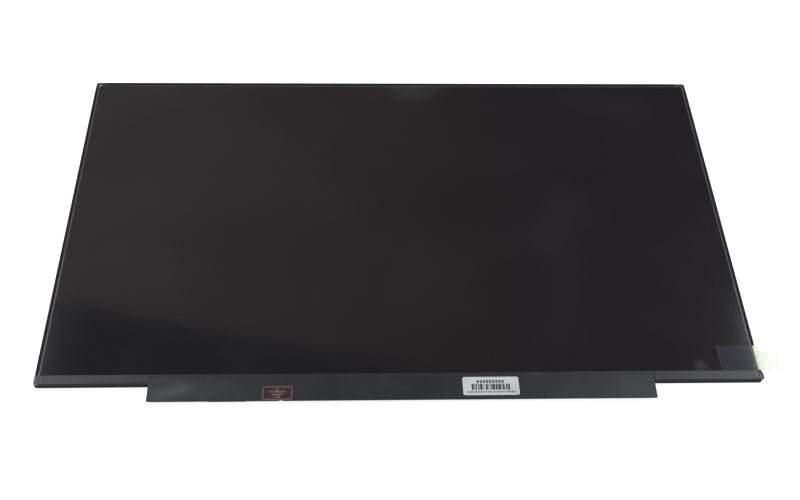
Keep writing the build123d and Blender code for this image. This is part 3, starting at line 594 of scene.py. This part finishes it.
def film_surface(depth):
    """Points of the film at a depth under its top."""

    def point(column, row):
        left = film_low.x + max(0.0, row - (film_high.y - FILM_CUT))
        x = left + (film_high.x - left) * column
        wave = 0.5 + 0.5 * noise.noise((x / FILM_WAVE_SIZE, row / FILM_WAVE_SIZE, 0))
        return x, row, film_high.z - TAB_GAP - FILM_WAVE * wave - depth

    return point


film_thickness = film_high.z - film_low.z - TAB_GAP - FILM_WAVE - FILM_GAP
film_columns = steps(0, 1, FILM_STEP / (film_high.x - film_low.x))
film_rows = steps(film_low.y, film_high.y - FILM_CUT, FILM_STEP) + [film_high.y]
film_mesh = bmesh.new()
add_sheet(film_mesh, film_columns, film_rows, film_surface(0), film_surface(film_thickness))
new_piece("screen_film", film_mesh, ["clear_film", "clear_film"], ["protective_film"])

# Tape over the board: the CAD tape cut into a grid, then set down between the driver films and rippled
tape_low, tape_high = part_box("board_cover_tape")
board_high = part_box("control_board")[1]
label_low, label_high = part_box("label")
label_low = label_low - Vector((LABEL_GROWTH, 0, 0))
label_high = label_high + Vector((0, LABEL_GROWTH, 0))
drivers_low, drivers_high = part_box("driver_films")
frame_low, frame_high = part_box("mould_frame")
driver_xs = sorted({round(v.co.x, 6) for v in nodes["driver_films"].data.vertices})
driver_spans = list(zip(driver_xs[0::2], driver_xs[1::2]))
held_spans = driver_spans + [(label_low.x, label_high.x)]


def fold_distance(x, y):
    """Distance to the nearest fold at the tape's ends: two along the left end, two at the right corner."""
    inset_left, inset_right, up = x - frame_low.x, frame_high.x - x, y - frame_low.y
    from_folds = [abs(inset_left - inset) for inset in LEFT_FOLDS]
    from_folds.append(abs(inset_right - SLANTED_FOLD - SLANTED_FOLD_SLOPE * up) / RIGHT_FOLD_BREADTH)
    past_end = max(0.0, up - RIGHT_FOLD_TOP)
    from_folds.append(math.hypot(inset_right - RIGHT_FOLD, past_end) / RIGHT_FOLD_BREADTH)
    return min(from_folds)


def fold_lift(x, y):
    """Height of the folds, which fade out at the edges of the tape."""
    from_edge = min(x - frame_low.x, frame_high.x - x, y - frame_low.y)
    held = smooth(*FOLD_FADE, from_edge)
    return FOLD_HEIGHT * held * (1 - smooth(0, FOLD_WIDTH, fold_distance(x, y)))


def tape_lift(x, y):
    """How far the tape lies above its flat place in CAD."""
    held = max(
        smooth(start - SAG_BLEND, start, x) * (1 - smooth(end, end + SAG_BLEND, x))
        for start, end in held_spans
    )
    on_board = 1 - smooth(frame_low.y + BOARD_BLEND, drivers_high.y, y)
    inside = 1 - smooth(board_high.x - 2 * SAG_BLEND, board_high.x, abs(x))
    ripple = 0.5 + 0.5 * noise.noise((x / RIPPLE_SIZE[0], y / RIPPLE_SIZE[1], 3))
    past_left = smooth(label_low.x - LABEL_BLEND, label_low.x, x)
    past_right = smooth(label_high.x, label_high.x + LABEL_BLEND, x)
    at_label = past_left * (1 - past_right)
    wall = smooth(frame_low.y + WALL_BLEND[0], frame_low.y + WALL_BLEND[1], y)
    free = max(on_board * inside, wall) * (1 - at_label)
    return free * TAPE_RIPPLE * ripple - TAPE_SAG * (1 - held) * on_board * inside


tape_mesh = cad_copy("board_cover_tape")
bmesh.ops.dissolve_limit(
    tape_mesh, angle_limit=FLAT_ANGLE, verts=tape_mesh.verts, edges=tape_mesh.edges, delimit=set()
)
cuts = [((x, 0, 0), (1, 0, 0)) for x in steps(tape_low.x, tape_high.x, TAPE_STEP)[1:-1]]
cuts += [((0, y, 0), (0, 1, 0)) for y in steps(tape_low.y, tape_high.y, TAPE_STEP)[1:-1]]
cuts.append(((0, frame_low.y + EDGE_SHADE_STRIP, 0), (0, 1, 0)))
for place, across in cuts:
    parts = tape_mesh.verts[:] + tape_mesh.edges[:] + tape_mesh.faces[:]
    bmesh.ops.bisect_plane(tape_mesh, geom=parts, plane_co=place, plane_no=across)
for low, high in ((frame_low.x, frame_low.x + FOLD_ZONE), (frame_high.x - FOLD_ZONE, frame_high.x)):
    fine_cuts = [((x, 0, 0), (1, 0, 0)) for x in steps(low, high, FOLD_STEP)[1:-1]]
    fine_cuts += [((0, y, 0), (0, 1, 0)) for y in steps(frame_low.y, tape_high.y, FOLD_STEP)[1:-1]]
    for place, across in fine_cuts:
        faces = [face for face in tape_mesh.faces if low < face.calc_center_median().x < high]
        edges = list({edge for face in faces for edge in face.edges})
        verts = list({vert for face in faces for vert in face.verts})
        bmesh.ops.bisect_plane(tape_mesh, geom=verts + edges + faces, plane_co=place, plane_no=across)
tape_mesh.normal_update()
wall_xs = []
for face in tape_mesh.faces:
    middle = face.calc_center_median()
    at_front = abs(middle.y - frame_low.y) < WALL_TOLERANCE
    if at_front and face.normal.y < -0.99 and middle.z < drivers_low.z:
        wall_xs.append(middle.x)
bay_left = max(x for x in wall_xs if x < 0)
bay_right = min(x for x in wall_xs if x > 0)


def tape_look(face):
    """Finish of one face of the tape: painted shade down the front wall, along its front edge and at its
    right end, and a painted highlight on the folds and along the front edge near the left corner.
    """
    middle = face.calc_center_median()
    up = middle.y - frame_low.y
    at_wall = not bay_left < middle.x < bay_right
    if at_wall and face.normal.z < WALL_STEEPNESS and up < WALL_REACH:
        return "tape_wall_shade"
    if middle.z < drivers_low.z or up < 0 and not at_wall:
        return "cover_tape"
    if at_wall and up < EDGE_SHADE_STRIP:
        return "tape_crease_highlight" if middle.x < frame_low.x + CORNER_LINE else "tape_edge_shade"
    if fold_distance(middle.x, middle.y) < FOLD_HIGHLIGHT_WIDTH:
        return "tape_crease_highlight"
    return "tape_edge_shade" if frame_high.x - middle.x < END_SHADE_STRIP else "cover_tape"


for face in tape_mesh.faces:
    face.material_index = TAPE_LOOKS.index(tape_look(face))
for vert in tape_mesh.verts:
    if vert.co.z > board_high.z:
        lift = tape_lift(vert.co.x, vert.co.y) + fold_lift(vert.co.x, vert.co.y)
        low_corner = 1 - smooth(*BULGE_FADE, vert.co.y - frame_low.y)
        at_right = smooth(frame_high.x - BULGE_LENGTH, frame_high.x, vert.co.x)
        vert.co.x += CORNER_BULGE * low_corner * at_right
        vert.co.z += lift

# Gussets in the slits at the ends of the bay, where the tape steps down, with the pale fold finish painted
# on as highlight
slit_xs = []
for face in tape_mesh.faces:
    middle = face.calc_center_median()
    at_end = min(abs(middle.x - bay_left), abs(middle.x - bay_right)) < SLIT_SEARCH
    in_band = middle.z > drivers_low.z and middle.y > frame_low.y + SLIT_START
    if at_end and in_band and abs(face.normal.x) > 0.9:
        slit_xs.append(middle.x)
for slit in ([x for x in slit_xs if x < 0], [x for x in slit_xs if x > 0]):
    known = set(tape_mesh.faces)
    gusset_low = (min(slit) + TAB_GAP, frame_low.y + TAB_GAP, drivers_high.z)
    gusset_high = (max(slit) - TAB_GAP, tape_high.y - GUSSET_END, tape_high.z)
    add_box(tape_mesh, gusset_low, gusset_high)
    for face in set(tape_mesh.faces) - known:
        face.material_index = TAPE_LOOKS.index("tape_crease_highlight")
new_piece("cover_tape", tape_mesh, TAPE_LOOKS, ["board_cover_tape"])

# Tape along the top: the CAD tape with its lip drawn on over the edge of the glass
top_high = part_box("edge_tape_top")[1]
top_mesh = cad_copy("edge_tape_top")
lip_edge = min(vert.co.y for vert in top_mesh.verts if vert.co.z > drivers_high.z)
for vert in top_mesh.verts:
    if vert.co.z > drivers_high.z and vert.co.y < lip_edge + LIP_TOLERANCE:
        vert.co.y = top_high.y - TOP_LIP
        vert.co.z = max(vert.co.z, frame_high.z + TAB_GAP)
new_piece("top_tape", top_mesh, ["black_tape"], ["edge_tape_top"])

# Pull tab: clear tape on the film, and the coloured film under its free end
tab_low, tab_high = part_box("pull_tab")
tab_middle = (tab_low.y + tab_high.y) / 2
tab_half = (tab_high.y - tab_low.y) / 2
tab_thickness = tab_high.z - film_high.z
droop_start = frame_high.x - TAB_LEAD
droop_run = tab_high.x - droop_start
droop_fall = film_high.z - tab_low.z
bend_rest = 2 * TAB_BEND - droop_fall
droop_angle = 2 * math.atan((droop_run - math.sqrt(droop_run**2 - droop_fall * bend_rest)) / bend_rest)


def tab_outline(x):
    """Half width of the tab at x, with its taper and rounded corners."""
    half = tab_half - TAB_END_NARROWING * max(0.0, (x - frame_high.x) / (tab_high.x - frame_high.x))
    from_end = min(x - tab_low.x, tab_high.x - x)
    if from_end < TAB_CORNER:
        half -= TAB_CORNER - math.sqrt(max(0.0, TAB_CORNER**2 - (TAB_CORNER - from_end) ** 2))
    return half


def tab_surface(depth):
    """Points of the tab at a depth under its top: flat on the film, then bent down to the table."""

    def point(x, share):
        y = tab_middle + tab_outline(x) * share
        past = max(0.0, x - droop_start)
        if past < TAB_BEND * math.sin(droop_angle):
            fall = TAB_BEND - math.sqrt(TAB_BEND**2 - past**2)
        else:
            fall = droop_fall - (droop_run - past) * math.tan(droop_angle)
        free = smooth(0.2, 0.8, past / droop_run)
        wave = 0.5 + 0.5 * noise.noise((x / TAB_WAVE_SIZE[0], y / TAB_WAVE_SIZE[1], 8))
        return x, y, tab_high.z - fall + TAB_WAVE * free * wave - depth

    return point


side_share = 1 - TAB_SIDE / tab_half
tab_shares = [-1] + steps(-side_share, side_share, TAB_SHARE_STEP) + [1]
edge_share = 1 - GRIP_EDGE / tab_half
grip_shares = [-1] + steps(-edge_share, edge_share, TAB_SHARE_STEP) + [1]
bend_start = droop_start - TAB_BEND_STEP
bend_end = droop_start + TAB_BEND * math.sin(droop_angle) + TAB_BEND_STEP
tab_columns = steps(tab_low.x, tab_low.x + TAB_CORNER, TAB_CORNER_STEP)
tab_columns += steps(tab_low.x + TAB_CORNER, bend_start, TAB_STEP)[1:-1]
tab_columns += steps(bend_start, bend_end, TAB_BEND_STEP)
tab_columns += steps(bend_end, tab_high.x - TAB_CORNER, TAB_STEP)[1:-1]
tab_columns += steps(tab_high.x - TAB_CORNER, tab_high.x, TAB_CORNER_STEP)
grip_start = frame_high.x - GRIP_LEAD
grip_columns = [grip_start] + [x for x in tab_columns if x > grip_start + GRIP_FIRST_STEP]
tab_mesh = bmesh.new()
add_sheet(tab_mesh, tab_columns, tab_shares, tab_surface(0), tab_surface(tab_thickness - TAB_GAP), 2)
tab_mesh.normal_update()
for face in tab_mesh.faces:
    middle = face.calc_center_median()
    at_side = tab_outline(middle.x) - abs(middle.y - tab_middle) < TAB_SIDE
    if face.normal.z > 0 and (at_side or middle.x < tab_low.x + TAB_EDGE):
        face.material_index = 2
new_piece("tab_tape", tab_mesh, ["tab_film", "tab_film", "film_edge"], ["pull_tab"])
grip_mesh = bmesh.new()
grip_top = tab_surface(tab_thickness + TAB_GAP)
grip_under = tab_surface(tab_thickness + GRIP_THICKNESS - TAB_GAP)
add_sheet(grip_mesh, grip_columns, grip_shares, grip_top, grip_under)
grip_mesh.normal_update()
# Grey strip along the free part's sides and end: painted shadow of the tab on the floor
for face in grip_mesh.faces:
    middle = face.calc_center_median()
    from_side = tab_outline(middle.x) - abs(middle.y - tab_middle)
    if face.normal.z > 0 and middle.x > frame_high.x and min(from_side, tab_high.x - middle.x) < GRIP_EDGE:
        face.material_index = 2
new_piece("tab_grip", grip_mesh, ["grip_film", "tab_film", "grip_edge_shadow"], ["tab_grip_film"])

# Label: the CAD label drawn out to the left and to the top
label_mesh = cad_copy("label")
label_middle = (label_low + label_high) / 2
for vert in label_mesh.verts:
    vert.co.x -= LABEL_GROWTH if vert.co.x < label_middle.x else 0
    vert.co.y += LABEL_GROWTH if vert.co.y > label_middle.y else 0
new_piece("label_sheet", label_mesh, ["label_paper"], ["label"])

# Print on the label: a plain bar pattern and two rows of blank dashes
label_size = label_high - label_low
print_low = label_high.z + PRINT_GAP
print_high = print_low + PRINT_THICKNESS


def label_point(across, up, z):
    """Point at shares of the label's width and height."""
    return label_low.x + label_size.x * across, label_low.y + label_size.y * up, z


def add_bar(bm, left, right, low, high):
    """Inked bar on the label, in shares of its width and height."""
    add_box(bm, label_point(left, low, print_low), label_point(right, high, print_high))


def add_dashes(bm, start, end, low, high, count, gap):
    """Row of blank dashes on the label, in shares of its width and height."""
    pitch = (end - start) / count
    for i in range(count):
        left = start + i * pitch
        add_bar(bm, left, left + pitch * (1 - gap), low, high)


print_mesh = bmesh.new()
unit = (BARS_RIGHT - BARS_LEFT) / (sum(BAR_WIDTHS) + sum(BAR_GAPS))
left = BARS_LEFT
for width, gap in zip(BAR_WIDTHS, BAR_GAPS + (0,)):
    add_bar(print_mesh, left, left + width * unit, BARS_LOW, BARS_HIGH)
    left += (width + gap) * unit
for row in DASH_ROWS:
    add_dashes(print_mesh, *row)
new_piece("label_print", print_mesh, ["label_ink"])

# Ground mark on the tape: a dark field, a frame round it and the plain earth sign
mark_middle = (GROUND_LEFT + GROUND_RIGHT) / 2
mark_high = frame_low.y - GROUND_DROP
mark_low = mark_high - GROUND_HEIGHT


def add_stroke(bm, left, right, low, high, layer):
    """Printed stroke that follows the tape, on the given layer of ink."""
    rise = PRINT_GAP + layer * (PRINT_THICKNESS + PRINT_GAP)

    def at(height):
        return lambda x, y: (x, y, drivers_high.z + tape_thickness + tape_lift(x, y) + rise + height)

    columns = steps(left, right, STROKE_STEP)
    rows = steps(low, high, STROKE_STEP)
    add_sheet(bm, columns, rows, at(PRINT_THICKNESS), at(0))


tape_thickness = label_low.z - drivers_high.z
field_mesh = bmesh.new()
add_stroke(field_mesh, GROUND_LEFT, GROUND_RIGHT, mark_low, mark_high, 0)
new_piece("ground_field", field_mesh, ["mark_ground", "mark_ground"])
sign_mesh = bmesh.new()
add_stroke(sign_mesh, GROUND_LEFT, GROUND_RIGHT, mark_high - GROUND_LINE, mark_high, 1)
add_stroke(sign_mesh, GROUND_LEFT, GROUND_RIGHT, mark_low, mark_low + GROUND_LINE, 1)
inner_low, inner_high = mark_low + GROUND_LINE, mark_high - GROUND_LINE
add_stroke(sign_mesh, GROUND_LEFT, GROUND_LEFT + GROUND_LINE, inner_low, inner_high, 1)
add_stroke(sign_mesh, GROUND_RIGHT - GROUND_LINE, GROUND_RIGHT, inner_low, inner_high, 1)
sign_height = SIGN_STEM + SIGN_PITCH * (len(SIGN_REACHES) - 1) + SIGN_STROKE
sign_high = (mark_low + mark_high + sign_height) / 2
stem_low = sign_high - SIGN_STEM
add_stroke(sign_mesh, mark_middle - SIGN_STROKE / 2, mark_middle + SIGN_STROKE / 2, stem_low, sign_high, 1)
for index, reach in enumerate(SIGN_REACHES):
    bar_high = stem_low - index * SIGN_PITCH
    add_stroke(sign_mesh, mark_middle - reach, mark_middle + reach, bar_high - SIGN_STROKE, bar_high, 1)
new_piece("ground_sign", sign_mesh, ["mark_ink", "mark_ink"])


def solids_of(node):
    """Boxes of the separate solids in a node, as (lowest, highest), in the same order each run."""
    bm = cad_copy(node)
    boxes = []
    left = set(bm.verts)
    while left:
        island, edge = set(), [left.pop()]
        while edge:
            vert = edge.pop()
            island.add(vert)
            for link in vert.link_edges:
                other = link.other_vert(vert)
                if other in left:
                    left.remove(other)
                    edge.append(other)
        points = [v.co for v in island]
        low = Vector(min(p[axis] for p in points) for axis in range(3))
        high = Vector(max(p[axis] for p in points) for axis in range(3))
        boxes.append((low, high))
    bm.free()
    return sorted(boxes, key=lambda box: tuple(box[0]))


# Tin ends of the small parts on the rear of the board
terminal_mesh = bmesh.new()
for node in ("capacitors", "resistors"):
    for low, high in solids_of(node):
        reach = TERMINAL_SHARE * (high.x - low.x)
        for start, end in (
            (low.x - TERMINAL_SKIN, low.x + reach),
            (high.x - reach, high.x + TERMINAL_SKIN),
        ):
            end_low = (start, low.y - TERMINAL_SKIN, low.z - TERMINAL_SKIN)
            end_high = (end, high.y + TERMINAL_SKIN, high.z - TERMINAL_SKIN)
            add_box(terminal_mesh, end_low, end_high)
terminal_edges = terminal_mesh.edges[:]
bmesh.ops.bevel(
    terminal_mesh, geom=terminal_edges, offset=TERMINAL_BEVEL, segments=2, affect="EDGES", profile=0.5
)
new_piece("terminals", terminal_mesh, ["solder"])


def stage_plane(name, corners, material):
    """Flat stage object through the given corners."""
    mesh = bpy.data.meshes.new(name)
    mesh.from_pydata(corners, [], [tuple(range(len(corners)))])
    mesh.materials.append(material)
    plane = bpy.data.objects.new(name, mesh)
    bpy.context.scene.collection.objects.link(plane)
    return plane


def rectangle(left, right, near, far):
    """Corners of a rectangle seen from above."""
    return [(left, near), (right, near), (right, far), (left, far)]


def seen_rays(tree, *others):
    """1 for rays from the camera and of the other kinds named, and 0 for the light that falls on things."""
    path = tree.nodes.new("ShaderNodeLightPath")
    total = path.outputs["Is Camera Ray"]
    for ray in others:
        either = tree.nodes.new("ShaderNodeMath")
        either.operation = "MAXIMUM"
        tree.links.new(total, either.inputs[0])
        tree.links.new(path.outputs[ray], either.inputs[1])
        total = either.outputs["Value"]
    return total


def glow(name):
    """Material that only glows, for a card."""
    material = bpy.data.materials.new(name)
    material.use_nodes = True
    tree = material.node_tree
    tree.nodes.remove(tree.nodes["Principled BSDF"])
    emission = tree.nodes.new("ShaderNodeEmission")
    tree.links.new(emission.outputs["Emission"], tree.nodes["Material Output"].inputs["Surface"])
    return material, tree, emission


# World: white to look at, softer as a light
world = bpy.data.worlds.new("studio")
bpy.context.scene.world = world
world.use_nodes = True
world_tree = world.node_tree
soft_light = world_tree.nodes["Background"]
soft_light.inputs["Color"].default_value = (1, 1, 1, 1)
soft_light.inputs["Strength"].default_value = WORLD_LIGHT
white = world_tree.nodes.new("ShaderNodeBackground")
white.inputs["Color"].default_value = (1, 1, 1, 1)
white.inputs["Strength"].default_value = 1.0
world_mix = world_tree.nodes.new("ShaderNodeMixShader")
seen = seen_rays(world_tree, "Is Glossy Ray", "Is Transmission Ray")
world_tree.links.new(seen, world_mix.inputs["Fac"])
world_tree.links.new(soft_light.outputs["Background"], world_mix.inputs[1])
world_tree.links.new(white.outputs["Background"], world_mix.inputs[2])
world_tree.links.new(world_mix.outputs["Shader"], world_tree.nodes["World Output"].inputs["Surface"])

# Floor: white to look at, with the object's shadow
floor_material = bpy.data.materials.new("floor")
floor_material.use_nodes = True
floor_tree = floor_material.node_tree
paint = floor_tree.nodes["Principled BSDF"]
paint.inputs["Base Color"].default_value = (*FLOOR_COLOUR, 1)
paint.inputs["Roughness"].default_value = 0.9
paint.inputs["Specular IOR Level"].default_value = 0.0
glow_part = floor_tree.nodes.new("ShaderNodeMath")
glow_part.operation = "MULTIPLY"
glow_part.inputs[1].default_value = FLOOR_GLOW
floor_tree.links.new(seen_rays(floor_tree, "Is Transmission Ray"), glow_part.inputs[0])
floor_tree.links.new(glow_part.outputs["Value"], paint.inputs["Emission Strength"])
paint.inputs["Emission Color"].default_value = (1, 1, 1, 1)
half = FLOOR_SIZE / 2
floor_corners = [(x, y, -FLOOR_DROP) for x, y in rectangle(-half, half, -half, half)]
stage_plane("floor", floor_corners, floor_material)

# Cards over the screen: what it mirrors towards the camera
sky_material, sky_tree, sky_glow = glow("sky_card")
sky_place = sky_tree.nodes.new("ShaderNodeTexCoord")
sky_split = sky_tree.nodes.new("ShaderNodeSeparateXYZ")
sky_tree.links.new(sky_place.outputs["Object"], sky_split.inputs["Vector"])
sky_range = sky_tree.nodes.new("ShaderNodeMapRange")
sky_range.inputs["From Min"].default_value = CARD_SPAN[0]
sky_range.inputs["From Max"].default_value = CARD_SPAN[1]
sky_tree.links.new(sky_split.outputs["X"], sky_range.inputs["Value"])
sky_ramp = sky_tree.nodes.new("ShaderNodeValToRGB")
for _ in CARD_TONES[2:]:
    sky_ramp.color_ramp.elements.new(0.5)
for element, (position, tone) in zip(sky_ramp.color_ramp.elements, CARD_TONES):
    element.position = position
    element.color = (*tone, 1)
sky_tree.links.new(sky_range.outputs["Result"], sky_ramp.inputs["Fac"])
sky_tree.links.new(sky_ramp.outputs["Color"], sky_glow.inputs["Color"])
sky_outline = rectangle(-CARD_HALF_WIDTH, CARD_HALF_WIDTH, CARD_NEAR, CARD_FAR)
sky_card = stage_plane("sky_card", [(x, y, CARD_HEIGHT) for x, y in sky_outline], sky_material)

shade_material, _, shade_glow = glow("shade_card")
shade_glow.inputs["Color"].default_value = (*SHADE_COLOUR, 1)
(edge_left, edge_far), (edge_right, edge_near) = SHADE_EDGE
slope = (edge_near - edge_far) / (edge_right - edge_left)
shade_outline = [(x, edge_far + slope * (x - edge_left)) for x in (-CARD_HALF_WIDTH, SHADE_RIGHT)]
shade_outline += [(SHADE_RIGHT, CARD_NEAR), (-CARD_HALF_WIDTH, CARD_NEAR)]
shade_corners = [(x, y, CARD_HEIGHT - SHADE_DROP) for x, y in shade_outline]
shade_card = stage_plane("shade_card", shade_corners, shade_material)
for card in (sky_card, shade_card):
    card.visible_camera = False
    card.visible_diffuse = False
    card.visible_shadow = False


def softbox(name, place, power):
    """Area lamp over one side of the object, facing straight down."""
    lamp = bpy.data.lights.new(name, "AREA")
    lamp.shape = "RECTANGLE"
    lamp.size, lamp.size_y = SOFTBOX_SIZE
    lamp.energy = power
    box = bpy.data.objects.new(name, lamp)
    box.location = place
    bpy.context.scene.collection.objects.link(box)


softbox("softbox_left", SOFTBOX_LEFT, SOFTBOX_LEFT_POWER)
softbox("softbox_right", SOFTBOX_RIGHT, SOFTBOX_RIGHT_POWER)

# Camera at the photo's viewing angle
camera = bpy.data.objects.new("camera", bpy.data.cameras.new("camera"))
camera.data.lens = CAMERA_LENS
camera.data.sensor_width = CAMERA_SENSOR
turn = Matrix.Rotation(CAMERA_YAW, 4, "Y") @ Matrix.Rotation(CAMERA_TILT, 4, "X")
camera.matrix_world = Matrix.Translation(CAMERA_PLACE) @ turn @ Matrix.Rotation(CAMERA_ROLL, 4, "Z")
camera.data.clip_start = CAMERA_CLIP
bpy.context.scene.collection.objects.link(camera)
bpy.context.scene.camera = camera
bpy.context.scene.view_settings.view_transform = "Standard"
